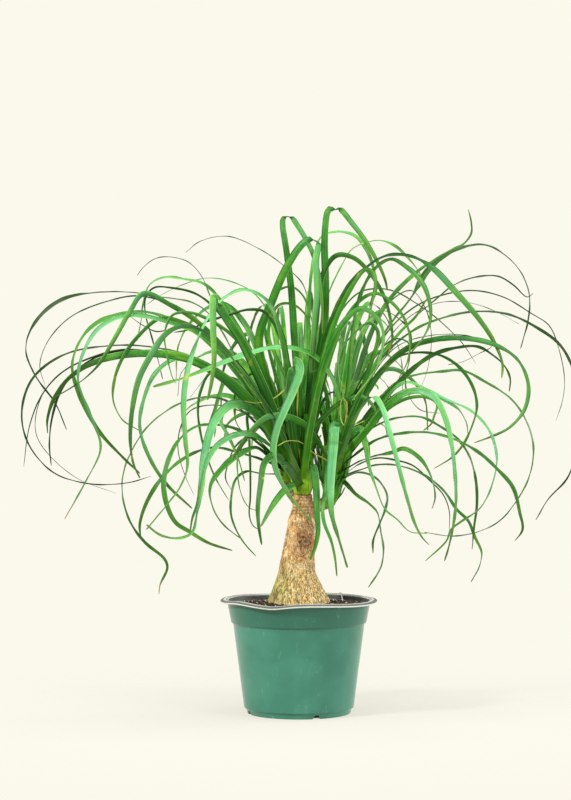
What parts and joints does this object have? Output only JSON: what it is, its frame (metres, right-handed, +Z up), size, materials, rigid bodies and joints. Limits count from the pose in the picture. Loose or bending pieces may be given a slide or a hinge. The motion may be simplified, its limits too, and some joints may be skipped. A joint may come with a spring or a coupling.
{
  "type": "potted ponytail palm",
  "caption": "Young ponytail palm with long arching strap leaves on a short flared stem, growing in a thin green plastic nursery pot filled with soil.",
  "frame": {"origin": "on the pot's axis, on the surface that the pot stands on", "axes": "+Z up along the pot's axis, the plant's front towards -Y, +X to the right seen from the front"},
  "size_m": [0.5876, 0.4176, 0.5315],
  "materials": {
    "pot_plastic": "semi-gloss moulded plastic, dark grey-green inside",
    "potting_soil": null,
    "bark": "rough tan bark with brown fissures",
    "leaf": null
  },
  "bodies": {
    "root": {"pot": "pot_plastic", "soil": "potting_soil", "trunk": "bark", "crown": "leaf"}
  },
  "joints": []
}
